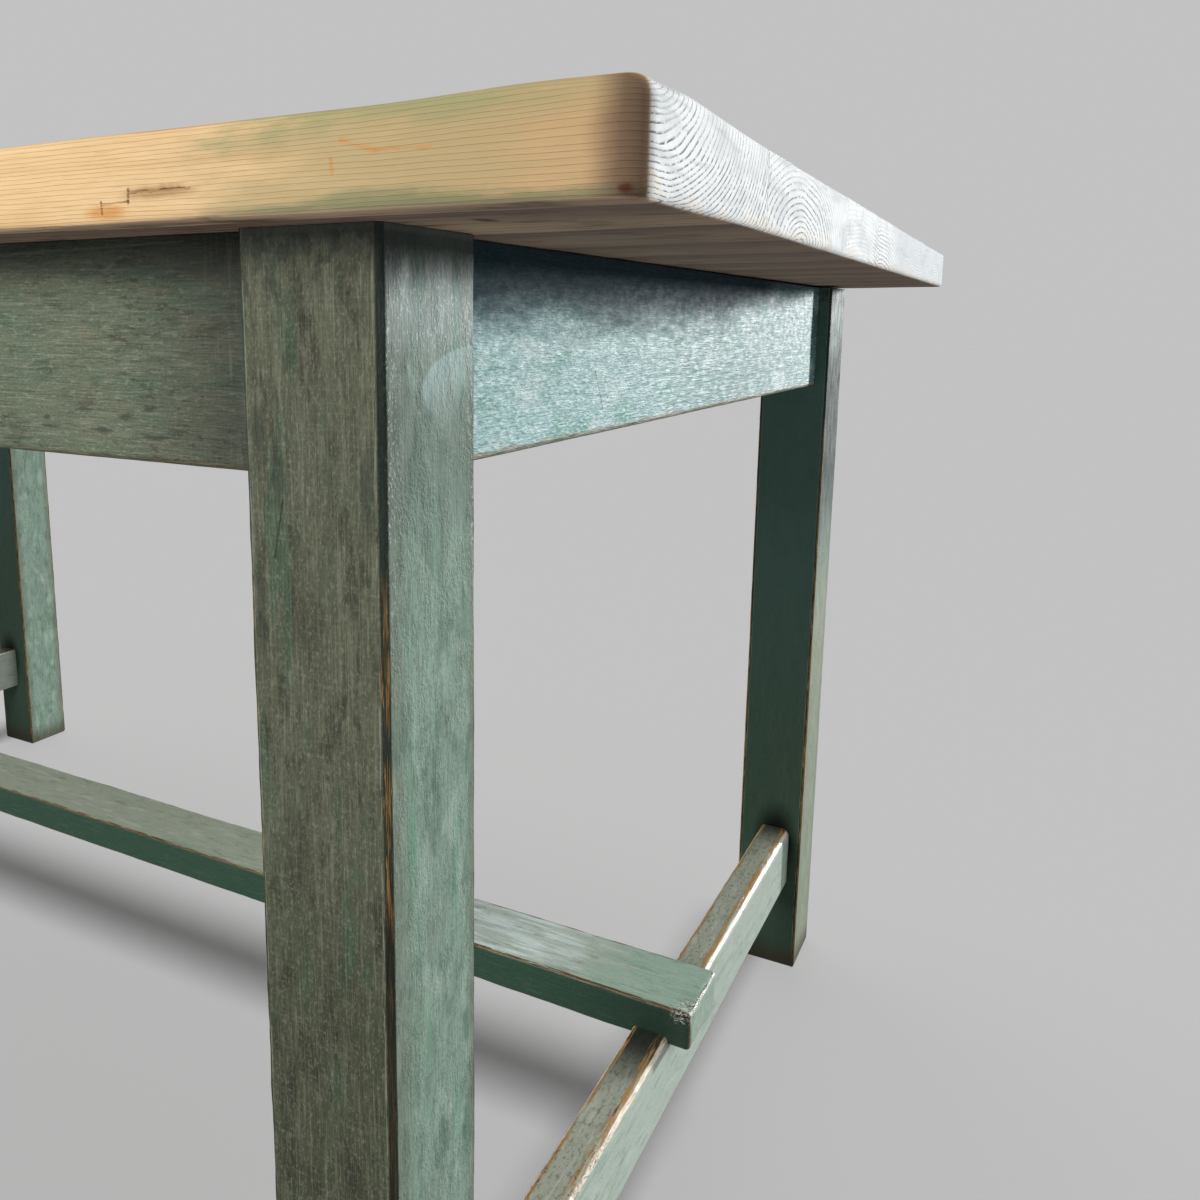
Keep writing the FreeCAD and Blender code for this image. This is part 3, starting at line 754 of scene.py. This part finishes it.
def trodden(coat, plain, woods, reach, grime):
    """Streaks, smudges and bare arrises on a stretcher, with grime and painted contact shadow in its
    corners.
    """
    light, dark, rim = woods
    shown = coat.most(coat.on_top, coat.on_x)
    coat.lay((112, 148, 128), shown * coat.blots(60, 12, 0.54, 0.68, 4.0), 0.4)
    coat.lay((98, 100, 88), shown * coat.blots(20, 6, 0.56, 0.68, 5.0), 0.35)
    coat.lay((208, 212, 202), shown * coat.blots(36, 9, 0.54, 0.67, 4.0), 0.4)
    streak = coat.figure(40, 1.8)
    coat.grade(streak, (160, 168, 154), (56, 68, 58), 0.22)
    coat.grade(coat.fine, (172, 178, 164), (60, 68, 60), 0.18)
    coat.grade(coat.speck, (178, 184, 170), (60, 66, 58), 0.2)
    coat.lay(plain, 1 - shown, 0.55)
    # Grime and painted contact shadow in the corners
    coat.lay((24, 31, 26), grime, 0.95)
    bare = coat.wear(reach, 3.0, light, dark, None, 1.0, rim)
    crack = coat.figure(18, 1.4, 3.0).ease(0.4, 0.33)
    chips = coat.speck.ease(0.46, 0.4) * coat.y.ease(-0.11, -0.18)
    crack = coat.most(crack, chips) * bare
    coat.lay((48, 40, 30), crack, 0.75)
    rough = bare.ease(0.0, 1.0, 0.42, 0.3)
    height = streak * 0.3 + coat.speck * 0.35 - crack * 0.3
    return coat.finish(coat.base, rough, coat.bump(height, 0.6), 0.4)


# The boards' edges across the table, and how much darker each board is than the palest
PLANK_EDGES = [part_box(board)[LOW].y for board in BOARDS] + [TOP_HIGH.y]
PLANK_TONES = (0.1, 0.45, 0.0, 0.3, 0.55, 0.2)
SEAM = 1.2 * MM
RING_PITCH = 2.5 * MM
FINE_PITCH = 1.7 * MM
FIRST_JOINT = PLANK_EDGES[1] - 0.5 * MM
RING_SQUASH = 1 / 2.3


def growth_rings(coat):
    """Flattened latewood lines round each board's pith, which wavers along the board."""
    across, up = coat.split(coat.grain)[Y:]
    bend = coat.figure(450, 60) - 0.5
    waver = coat.figure(60, 12) - 0.5
    side = (across + bend * (12 * MM) + waver * (3 * MM)) * RING_SQUASH
    rise = up + bend * (6 * MM) + waver * (1.5 * MM)
    radius = coat.math("SQRT", side * side + rise * rise)
    pace = coat.noise(coat.join(radius, 0.0, 0.0), (12, 1000, 1000), 1.0, 0.5, 2.0)
    rate = coat.y.ease(FIRST_JOINT, FIRST_JOINT + MM, 1 / FINE_PITCH, 1 / RING_PITCH)
    year = coat.math("FRACT", radius * rate + pace * 1.2)
    return year.ease(0.6, 0.9) * year.ease(1.0, 0.94)


def pine_with_glare_ends():
    """Bare pine: honey edges, ends painted near white for the glare on them with grey rings, and a
    brown underside.
    """
    coat = Coat("pine_with_glare_ends", 401.0, (239, 205, 157))
    late = growth_rings(coat)
    blot = coat.figure(120, 26, 3.0)
    coat.lay((190, 138, 92), late * blot.ease(0.3, 0.6, 0.06, 0.24))
    coat.grade(coat.figure(240, 2.6, 3.0), (248, 222, 182), (208, 164, 112), 0.3)
    coat.grade(coat.fine, (246, 220, 178), (196, 152, 104), 0.28)
    coat.lay((214, 178, 128), blot.ease(0.45, 0.72), 0.5)
    planks(coat, late)
    front_edge(coat)
    underside(coat, late)
    end_grain_glare(coat, late)
    height = late * 0.35 + coat.fine * 0.3
    return coat.finish(coat.base, 0.8, coat.bump(height, 0.4), 0.04)


def planks(coat, late):
    """Boards of differing tone on the table's upper face, with dark seams between them."""
    y = coat.y
    coat.lay((182, 130, 82), coat.on_top * late, 0.35)
    for low, high, tone in zip(PLANK_EDGES, PLANK_EDGES[1:], PLANK_TONES):
        plank = y.ease(low, low + SEAM) * y.ease(high, high - SEAM)
        coat.lay((198, 152, 104), coat.on_top * plank, tone)
    for edge in PLANK_EDGES[1:-1]:
        seam = abs(y - edge).ease(SEAM, 0.4 * SEAM)
        coat.lay((96, 70, 48), coat.on_top * seam, 0.7)


SCAR = (((0.5630, 0.7462), (0.5632, 0.7420), 0.9), ((0.5630, 0.7456), (0.5774, 0.7461), 0.6),
        ((0.5776, 0.7503), (0.5772, 0.7457), 1.0), ((0.5776, 0.7490), (0.6080, 0.7493), 0.6))
SCAR_STAIN = ((0.592, 0.7485), (24, 3.4))
SCAR_GLOW = ((0.565, 0.7425), (15, 3.6))
CORNER_SPOT = ((0.7715, 0.7400), (3, 2))
ORANGE_STREAK = (((0.6740, 0.7598), (0.6874, 0.7561), 1.2), ((0.6874, 0.7561), (0.7080, 0.7557), 0.8),
                 ((0.6700, 0.7545), (0.6705, 0.7500), 1.2))


def front_edge(coat):
    """Stains and a scar on the long front edge, a dark knot by the corner, and painted shade on its
    right part and rounded corner.
    """
    x, y, z = coat.x, coat.y, coat.z
    front = y.ease(-0.436, -0.442)
    rag = coat.figure(40, 9, 4.0) - 0.5
    drift = x + rag * 0.16
    # The edge's right part laid in a darker tone, partly painted shade where the light from the front
    # falls off
    coat.lay((202, 170, 128), front * drift.ease(0.58, 0.7), 0.8)
    wash = drift.ease(0.59, 0.66) * drift.ease(0.77, 0.71)
    coat.lay((166, 172, 128), front * wash, 0.3)
    upper = (z + rag * 0.02).ease(0.759, 0.768)
    coat.lay((150, 164, 120), front * upper * wash, 0.55)
    lower = (z + rag * 0.014).ease(0.7445, 0.7395)
    coat.lay((104, 124, 96), front * lower * drift.ease(0.58, 0.65), 0.6)
    wave = z + (coat.figure(6, 3) - 0.5) * 0.002
    coat.lay((150, 104, 64), front * coat.spot(x, wave, *SCAR_STAIN), 0.55)
    coat.lay((214, 146, 74), front * coat.spot(x, wave, *SCAR_GLOW), 0.7)
    broken = front * coat.fine.ease(0.38, 0.55, 0.25, 1.0)
    marks = ((SCAR, (104, 60, 34), 0.7), (ORANGE_STREAK, (216, 146, 80), 0.6))
    for strokes, colour, amount in marks:
        for start, end, width in strokes:
            coat.lay(colour, broken * coat.stroke(x, wave, start, end, width), amount)
    # Painted shade on the rounded corner and the stretch before it, which faces away from the lamps
    turn = x + rag * 0.008
    coat.lay((104, 83, 73), front * turn.ease(0.758, 0.771), 0.8)
    coat.lay((90, 48, 32), front * coat.spot(x, wave, *CORNER_SPOT), 0.8)


# Saw-toothed bands of tone across the underside: their width and where one begins
BAND_PITCH = 85 * MM
BAND_START = -346 * MM
KNOT = ((0.702, -0.4005), (6, 9))


def underside(coat, late):
    """Old taupe boards below, darker along one side of each strip."""
    x, y = coat.x, coat.y
    wander = (coat.figure(160, 30, 3.0) - 0.5) * 0.02
    strip = (y - BAND_START + wander) * (1 / BAND_PITCH)
    saw = coat.math("FRACT", strip).ease(0.0, 0.75)
    brown = coat.mix(saw, (158, 136, 124), (232, 200, 170))
    blot = coat.figure(40, 16, 5.0)
    streak = coat.figure(90, 2.4, 3.0)
    layers = ((late * 0.25, (120, 100, 86)),
              (blot.ease(0.52, 0.66, 0.0, 0.65), (118, 102, 96)),
              (streak.ease(0.54, 0.7, 0.0, 0.4), (228, 204, 180)),
              (streak.ease(0.46, 0.34, 0.0, 0.6), (88, 72, 62)),
              ((x + wander).ease(0.66, 0.73, 0.0, 0.4), (112, 98, 90)),
              ((y + wander).ease(-0.35, -0.27, 0.0, 0.6), (144, 126, 116)),
              (coat.spot(x, y, *KNOT) * 0.75, (74, 62, 56)))
    for share, colour in layers:
        brown = coat.mix(share, brown, colour)
    coat.lay(brown, coat.under)


END_CHECKS = (((-0.1370, 0.7385), (-0.1365, 0.7520), 0.7), ((-0.1190, 0.7420), (-0.1200, 0.7570), 0.6),
              ((-0.0150, 0.7390), (-0.0140, 0.7690), 0.6), ((0.0100, 0.7420), (0.0060, 0.7600), 0.6),
              ((-0.3210, 0.7400), (-0.3060, 0.7680), 0.6), ((-0.3130, 0.7390), (-0.3000, 0.7640), 0.6))


def end_grain_glare(coat, late):
    """End grain painted white for the glare on it, with broken grey rings, washed out in places."""
    y, z = coat.y, coat.z
    dash = coat.noise(coat.at, (10, 2.2, 2.2), 3.0, 0.6, 3.0)
    dash = dash.ease(0.36, 0.56)
    cloud = coat.noise(coat.at, (30, 30, 12), 4.0, 0.55, 8.0)
    high = z + (cloud - 0.5) * 0.05
    # Painted glare: the rings fade out towards the top of the end
    glare_mask = high.ease(0.754, 0.768, 0.0, 0.8)
    blank = y.ease(-0.19, -0.16) * y.ease(-0.02, -0.03)
    faint = coat.most(blank * 0.85, y.ease(0.03, 0.07, 0.0, 0.7))
    keep = (1 - glare_mask) * (1 - faint)
    # The end's white is painted glare over the pine; the rings and checks laid on it are the grain
    glare_and_grain = coat.mix(cloud.ease(0.42, 0.7), (241, 242, 241), (218, 220, 221))
    glare_and_grain = coat.mix(y.ease(0.02, 0.12, 0.0, 0.5), glare_and_grain, (184, 188, 192))
    glare_and_grain = coat.mix(late * dash * keep * 0.95, glare_and_grain, (96, 98, 100))
    for start, end, width in END_CHECKS:
        line = coat.stroke(y, z, start, end, width) * dash
        glare_and_grain = coat.mix(line * 0.75, glare_and_grain, (96, 96, 96))
    drifts = coat.noise(coat.at, (30, 50, 5), 3.0, 0.5, 14.0)
    glare_and_grain = coat.mix(drifts.ease(0.56, 0.7, 0.0, 0.5), glare_and_grain, (190, 194, 196))
    cream = high.ease(0.7430, 0.7390)
    glare_and_grain = coat.mix(cream * 0.3, glare_and_grain, (216, 196, 164))
    corner = abs(y).ease(0.42, 0.43, 0.0, 1.2)
    facing = abs(coat.normal[X]) - abs(coat.normal[Y]) * corner
    coat.lay(glare_and_grain, facing.ease(0.3, 0.6))


def plain_wood(name, light, dark):
    """Bare wood of the small hidden pieces."""
    shade = Shade(name)
    band = shade.noise(shade.at, (20, 2, 2), 3.0, 0.6)
    colour = shade.mix(band.ease(0.35, 0.65), light, dark)
    return shade.finish(colour, 0.6, shade.bump(band, 0.4), 0.3)


def dull_steel():
    """Zinc-coated screws with a little tarnish."""
    shade = Shade("dull_steel")
    stain = shade.noise(shade.at, (2, 2, 2), 3.0, 0.6)
    colour = shade.mix(stain.ease(0.35, 0.7), (186, 184, 178), (120, 112, 98))
    shade.surface.inputs["Metallic"].default_value = 1.0
    return shade.finish(colour, stain.ease(0.3, 0.7, 0.3, 0.5))


# Pieces

OUTER_CORNER = 9 * MM
OUTER_EDGE = 3 * MM
WORN_CORNER = 8.5 * MM
CORNER_REACH = 45 * MM
JOINT_GROOVE = 0.3 * MM
SKEW_START = 0.30
END_SKEW = 20.6 * MM
END_LIFT = 2.5 * MM
CORNER_SWELL = 2.0 * MM
SWELL_LENGTH = 0.10
SWELL_WIDTH = 0.13
END_NOTCH = ((0.7575, 0.2697, 0.738), 7, 2)
BOARD_CELL = (6 * MM, 6 * MM, 4 * MM)
GRAIN_STEP = 1.7
KNOCK_SEED = 5
FACE_SEED = 21

# Pith of each board: how many mm in from its front edge and above its lower face
PITHS = ((4, 35), (67, -4), (60, -60),
         (20, -40), (80, 70), (110, -50))


def warp_end(timber):
    """Cuts the right end out of square and lets the boards lift and swell there."""
    start = timber.start
    share = (start[:, Y] - TOP_LOW.y) / (TOP_HIGH.y - TOP_LOW.y)
    run = smooth(start[:, X], SKEW_START, TOP_HIGH.x)
    timber.points[:, X] -= END_SKEW * share * run
    timber.points[:, Z] += END_LIFT * share * run
    along = smooth(start[:, X], TOP_HIGH.x - SWELL_LENGTH, TOP_HIGH.x)
    across = smooth(start[:, Y], TOP_LOW.y + SWELL_WIDTH, TOP_LOW.y)
    upper = start[:, Z] > (TOP_LOW.z + TOP_HIGH.z) / 2
    timber.points[:, Z] += np.where(upper, CORNER_SWELL, -CORNER_SWELL / 2) * (along * across)


def make_board(number, material):
    """One plank of the top."""
    low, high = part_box(BOARDS[number])
    timber = Timber(BOARDS[number], low, high, Z, BOARD_CELL, WORN_CORNER)
    joints = [(LOW, Y)] * (number > 0) + [(HIGH, Y)] * (number < len(BOARDS) - 1)
    start = timber.start
    away = np.hypot(start[:, X] - TOP_HIGH.x, start[:, Y] - TOP_LOW.y)
    knocks = 1 + 0.3 * noise(start, (0.05, 0.03, 0.05), KNOCK_SEED)
    worn = OUTER_EDGE * knocks + (WORN_CORNER - OUTER_EDGE) * smooth(away, CORNER_REACH, 0)

    def corner(sides):
        return (0 if (sides[1], Y) in joints else OUTER_CORNER), ROUND

    timber.ease(corner, lambda side: worn if side == HIGH else OUTER_EDGE * knocks, joints)
    timber.part_joints(joints, JOINT_GROOVE)
    timber.press(0.15 * MM * noise(start, (0.05, 0.02, 0.02), FACE_SEED))
    timber.dent(*END_NOTCH)
    warp_end(timber)
    pith = (low.y + PITHS[number][0] * MM, low.z + PITHS[number][1] * MM)
    return timber.piece(material, "bare_pine", X, pith, number * GRAIN_STEP)


LEG_SEED = 40
LEG_CELL = 5 * MM
LEG_CHAMFER = 2.6
LEG_ARRIS = 1.3
FOOT_ROUND = 4 * MM
HEAD_ROUND = 0.3 * MM


def make_leg(name, material, cell):
    """A square post with a worn chamfer down its outer corner."""
    node = "leg_" + name
    low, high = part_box(node)
    right = HIGH if low.x > 0 else LOW
    back = HIGH if low.y > 0 else LOW
    timber = Timber(node, low, high, Z, (LEG_CELL, LEG_CELL, cell), FOOT_ROUND)
    seed = LEG_SEED + 2 * right + back
    fray = noise(timber.start, (0.03, 0.03, 0.022), seed)
    nibble = noise(timber.start, (0.03, 0.03, 0.006), seed + 7)

    def corner(sides):
        if sides == (right, back):
            return (LEG_CHAMFER + 0.4 * fray + 0.4 * nibble) * MM, WORN_CHAMFER
        return (LEG_ARRIS + 0.5 * fray + 0.3 * nibble) * MM, ROUND

    timber.ease(corner, lambda side: FOOT_ROUND if side == LOW else HEAD_ROUND)
    surface = 0.18 * MM * noise(timber.start, (0.02, 0.02, 0.07), seed + 11)
    timber.press(surface * smooth(timber.start[:, Z], low.z + 2 * MM, low.z + 12 * MM))
    worn = dict.fromkeys(itertools.product(SIDES, repeat=2), 0.8 if back == HIGH else 0.5)
    worn[right, back] = 1.0
    return timber.piece(material, "green_paint", Z, (low.x, low.y), seed * 0.37, False, worn)


RAIL_CELL = 5 * MM
SHOULDER_ROUND = 0.2 * MM


def make_rail(node, axis, box, radii, end_radius, seed, fine=RAIL_CELL):
    """An apron or stretcher: a rail with four worn arrises."""
    low, high = box
    cell = [RAIL_CELL] * 3
    cell[axis] = fine
    timber = Timber(node, low, high, axis, cell, 1.3 * max(*radii.values(), end_radius))
    size = [0.01] * 3
    size[axis] = 0.03
    fray = noise(timber.start, size, seed)
    size[axis] = 0.008
    nibble = noise(timber.start, size, seed + 3)
    knocks = 1 + 0.22 * fray + 0.15 * nibble
    timber.ease(lambda sides: (radii[sides] * knocks, ROUND), lambda side: end_radius * knocks)
    return timber.press(0.15 * MM * noise(timber.start, (0.03, 0.03, 0.03), seed + 9))


def paint_rail(timber, material, seed, rims=False, worn=None):
    """The finished piece of a rail, with its grain along it."""
    return timber.piece(material, "green_paint", timber.axis, (0, 0), seed * 0.53, rims, worn)


def between_legs(node, axis):
    """The visible box of a rail, shoulder to shoulder."""
    low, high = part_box(node)
    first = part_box("leg_front_left")
    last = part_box("leg_back_right")
    low[axis] = first[HIGH][axis]
    high[axis] = last[LOW][axis]
    return low, high


def arrises(low_low, low_high, high_low, high_high):
    """Radii, in mm, of a rail's four long edges, by side across and side up."""
    return {(LOW, LOW): low_low * MM, (LOW, HIGH): low_high * MM,
            (HIGH, LOW): high_low * MM, (HIGH, HIGH): high_high * MM}


APRON_SEED = 110
APRONS = {"apron_front": X, "apron_back": X, "apron_left": Y, "apron_right": Y}


def make_aprons():
    """Four rails under the top, rounded along their lower edges."""
    material = apron_paint()
    for seed, (node, axis) in enumerate(APRONS.items(), APRON_SEED):
        radii = arrises(3, 0.8, 3, 0.8)
        timber = make_rail(node, axis, between_legs(node, axis), radii, SHOULDER_ROUND, seed)
        paint_rail(timber, material, seed)


END_SEED = 150
LONG_SEED = 170
TREADS = {"end_stretcher_left": (LOW, HIGH), "end_stretcher_right": (HIGH, HIGH)}
TREAD_ROUND = 6.5 * MM
TREAD_WEAR = 2.1

# Hollows: place, reach and depth, the last two in mm
TREAD_DENTS = (((0.6444, -0.1447, 0.162), 4.5, 1.0), ((0.6328, -0.1662, 0.162), 4.0, 0.9),
               ((0.6539, -0.2008, 0.160), 5.0, 1.4), ((0.6520, -0.2620, 0.160), 5.0, 1.0),
               ((0.6530, 0.1700, 0.160), 6.0, 0.9), ((-0.6520, 0.0900, 0.160), 6.0, 1.2))
END_CHIPS = (((0.667, -0.0196, 0.186), 4.5, 1.8), ((0.660, -0.0230, 0.186), 4.0, 1.0),
             ((0.671, -0.0270, 0.180), 4.5, 1.4), ((0.670, 0.0100, 0.186), 4.0, 0.9))


def make_stretchers():
    """Two end stretchers with a trodden outer arris, and the long one that lies over them."""
    material = end_stretcher_paint()
    for seed, (node, tread) in enumerate(TREADS.items(), END_SEED):
        radii = arrises(2, 2.5, 2, 2.5)
        radii[tread] = TREAD_ROUND
        timber = make_rail(node, Y, between_legs(node, Y), radii, SHOULDER_ROUND, seed, 2.5 * MM)
        for dent in TREAD_DENTS:
            timber.dent(*dent)
        paint_rail(timber, material, seed, False, {tread: TREAD_WEAR})
    node = "long_stretcher"
    radii = arrises(2.5, 3, 2.5, 3)
    timber = make_rail(node, X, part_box(node), radii, 4.5 * MM, LONG_SEED, 4 * MM)
    for dent in END_CHIPS:
        timber.dent(*dent)
    paint_rail(timber, long_stretcher_paint(), LONG_SEED, True)


# How finely each leg is cut along its height
LEGS = {"front_right": 3 * MM, "back_right": 6 * MM, "back_left": 6 * MM, "front_left": 6 * MM}


def make_base():
    """Legs, aprons and stretchers in worn paint."""
    on_legs = leg_paint()
    for name, cell in LEGS.items():
        make_leg(name, on_legs, cell)
    make_aprons()
    make_stretchers()


def make_top():
    """The planks of the top."""
    pine = pine_with_glare_ends()
    for number in range(len(BOARDS)):
        make_board(number, pine)


def dress(nodes, material):
    """Gives CAD nodes that stay a material of their own."""
    for node in nodes:
        piece = bpy.data.objects[node]
        for place in piece.material_slots:
            place.material = material


def dress_small_parts():
    """Hidden joints, buttons and screws keep their CAD shapes."""
    dress(SPLINES + ["lap_dowels"], plain_wood("spline_grain", (206, 172, 128), (168, 128, 84)))
    dress(BUTTONS, plain_wood("button_grain", (150, 116, 78), (104, 76, 48)))
    dress(["button_screws"], dull_steel())


# Stage

# Angles in degrees, lens and sensor in mm, and shift in widths of the picture
CAMERA_AT = (0.8863, -0.7241, 0.7032)
CAMERA_TURN = 28.7165
CAMERA_DIP = 10.0331
CAMERA_ROLL = 0.2505
LENS = 31.252
SENSOR = 36.0
SHIFT = (0.08135, -0.07797)


def make_camera():
    """A camera at the photograph's viewing angle."""
    data = bpy.data.cameras.new("view")
    data.sensor_width = SENSOR
    data.lens = LENS
    data.shift_x, data.shift_y = SHIFT
    data.clip_start = 0.01
    camera = add_object("view", data)
    turn = Matrix.Rotation(math.radians(CAMERA_TURN), 4, "Z")
    dip = Matrix.Rotation(math.radians(90 - CAMERA_DIP), 4, "X")
    roll = Matrix.Rotation(math.radians(CAMERA_ROLL), 4, "Z")
    camera.matrix_world = Matrix.Translation(CAMERA_AT) @ turn @ dip @ roll
    bpy.context.scene.camera = camera


WORLD_LEVEL = 0.13


def make_world():
    """Even grey surroundings: the backdrop for the camera and a soft fill for the table."""
    world = bpy.data.worlds.new("room")
    bpy.context.scene.world = world
    world.use_nodes = True
    tree = world.node_tree
    path = tree.nodes.new("ShaderNodeLightPath")
    level = tree.nodes.new("ShaderNodeMapRange")
    level.inputs[3].default_value = WORLD_LEVEL
    level.inputs[4].default_value = FLOOR_TONE
    tree.links.new(path.outputs["Is Camera Ray"], level.inputs[0])
    backdrop = tree.nodes["Background"]
    backdrop.inputs["Color"].default_value = (1, 1, 1, 1)
    tree.links.new(level.outputs[0], backdrop.inputs["Strength"])


def group(name, pieces):
    """A named set of pieces that a lamp lights or is shaded by."""
    chosen = bpy.data.collections.new(name)
    for piece in pieces:
        chosen.objects.link(piece)
    return chosen


def add_lamp(name, data, receivers):
    """Places a lamp that lights only the pieces it is meant for."""
    lamp = add_object(name, data)
    lamp.visible_camera = False
    lamp.light_linking.receiver_collection = receivers
    return lamp


def aim_sun(lamp, towards, rise):
    """Turns a sun so that its light comes from a heading and a height above the floor."""
    heading = math.atan2(towards[1], towards[0])
    lamp.rotation_euler = (0, math.radians(90 - rise), heading)


FRONT_WINDOW = {"at": (-0.1, -1.65, 1.25), "aim": (0.62, -0.40, 0.55),
                "size": (1.1, 0.9), "power": 23.5}
END_WINDOW = {"towards": (0.42, 0.91), "rise": 4.5, "spread": 5.5, "level": 4.3}
SIDE_WINDOW = {"towards": (0.95, 0.3), "rise": 40, "spread": 40, "level": 1.0}
LEFT_WINDOW = {"towards": (-1.0, 0.05), "rise": 6, "spread": 50, "level": 1.2}
FLOOR_LAMP = {"towards": (0.42, -0.45), "rise": 60, "spread": 23, "level": 4.6}
FLOOR_GLOW = {"towards": (-0.3, 0.3), "rise": 62, "spread": 60, "level": 2.1}
WARM = (1.0, 0.975, 0.93)
COOL = (0.96, 0.99, 1.0)
WHITE = (1.0, 1.0, 1.0)


def make_lamps(table, floor, shading):
    """Soft windows in front, beside and low beyond both ends, and two lamps for the floor."""
    window = bpy.data.lights.new("front_window", "AREA")
    window.shape = "RECTANGLE"
    window.size, window.size_y = FRONT_WINDOW["size"]
    window.energy = FRONT_WINDOW["power"]
    window.color = WARM
    lamp = add_lamp("front_window", window, table)
    view = Vector(FRONT_WINDOW["aim"]) - Vector(FRONT_WINDOW["at"])
    lamp.location = FRONT_WINDOW["at"]
    lamp.rotation_euler = view.to_track_quat("-Z", "Y").to_euler()
    suns = (("end_window", END_WINDOW, COOL, table, None),
            ("side_window", SIDE_WINDOW, COOL, table, None),
            ("left_window", LEFT_WINDOW, WARM, table, None),
            ("floor_lamp", FLOOR_LAMP, WHITE, floor, shading),
            ("floor_glow", FLOOR_GLOW, WHITE, floor, floor))
    for name, settings, tint, receivers, blockers in suns:
        sun = bpy.data.lights.new(name, "SUN")
        sun.energy = settings["level"]
        sun.angle = math.radians(settings["spread"])
        sun.color = tint
        lamp = add_lamp(name, sun, receivers)
        aim_sun(lamp, settings["towards"], settings["rise"])
        lamp.light_linking.blocker_collection = blockers


FLOOR_HALF = 40.0
FLOOR_BOUNCE = 0.15


def floor_level():
    """Light that reaches open floor, as a share of a white surface lit to white."""
    suns = (FLOOR_LAMP, FLOOR_GLOW)
    fall = sum(sun["level"] * math.sin(math.radians(sun["rise"])) for sun in suns)
    return WORLD_LEVEL + fall / math.pi


def make_floor():
    """A plain pale floor that meets the backdrop without a line."""
    half = FLOOR_HALF
    mesh = bpy.data.meshes.new("floor")
    corners = [(-half, -half, 0), (half, -half, 0), (half, half, 0), (-half, half, 0)]
    mesh.from_pydata(corners, [], [(0, 1, 2, 3)])
    floor = add_object("floor", mesh)
    shade = Shade("floor_grey")
    tone = FLOOR_TONE / floor_level()
    path = shade.out(shade.add("ShaderNodeLightPath"), "Is Camera Ray")
    dim = (FLOOR_BOUNCE, FLOOR_BOUNCE, FLOOR_BOUNCE, 1)
    shade.finish(shade.mix(path, dim, (tone, tone, tone, 1)), 1.0, None, 0.0)
    mesh.materials.append(shade.material)
    return floor


def light_stage():
    """Floor and lamps, once every piece of the table is there."""
    scene = bpy.context.scene
    pieces = [piece for piece in scene.objects if piece.type == "MESH"]
    table = group("table_pieces", pieces)
    shading = [piece for piece in pieces if "_stretcher" in piece.name]
    floor = group("floor_pieces", [make_floor()])
    make_lamps(table, floor, group("floor_shading_pieces", shading))


bpy.context.scene.view_settings.view_transform = "Standard"
make_camera()
make_world()
make_top()
make_base()
dress_small_parts()
light_stage()
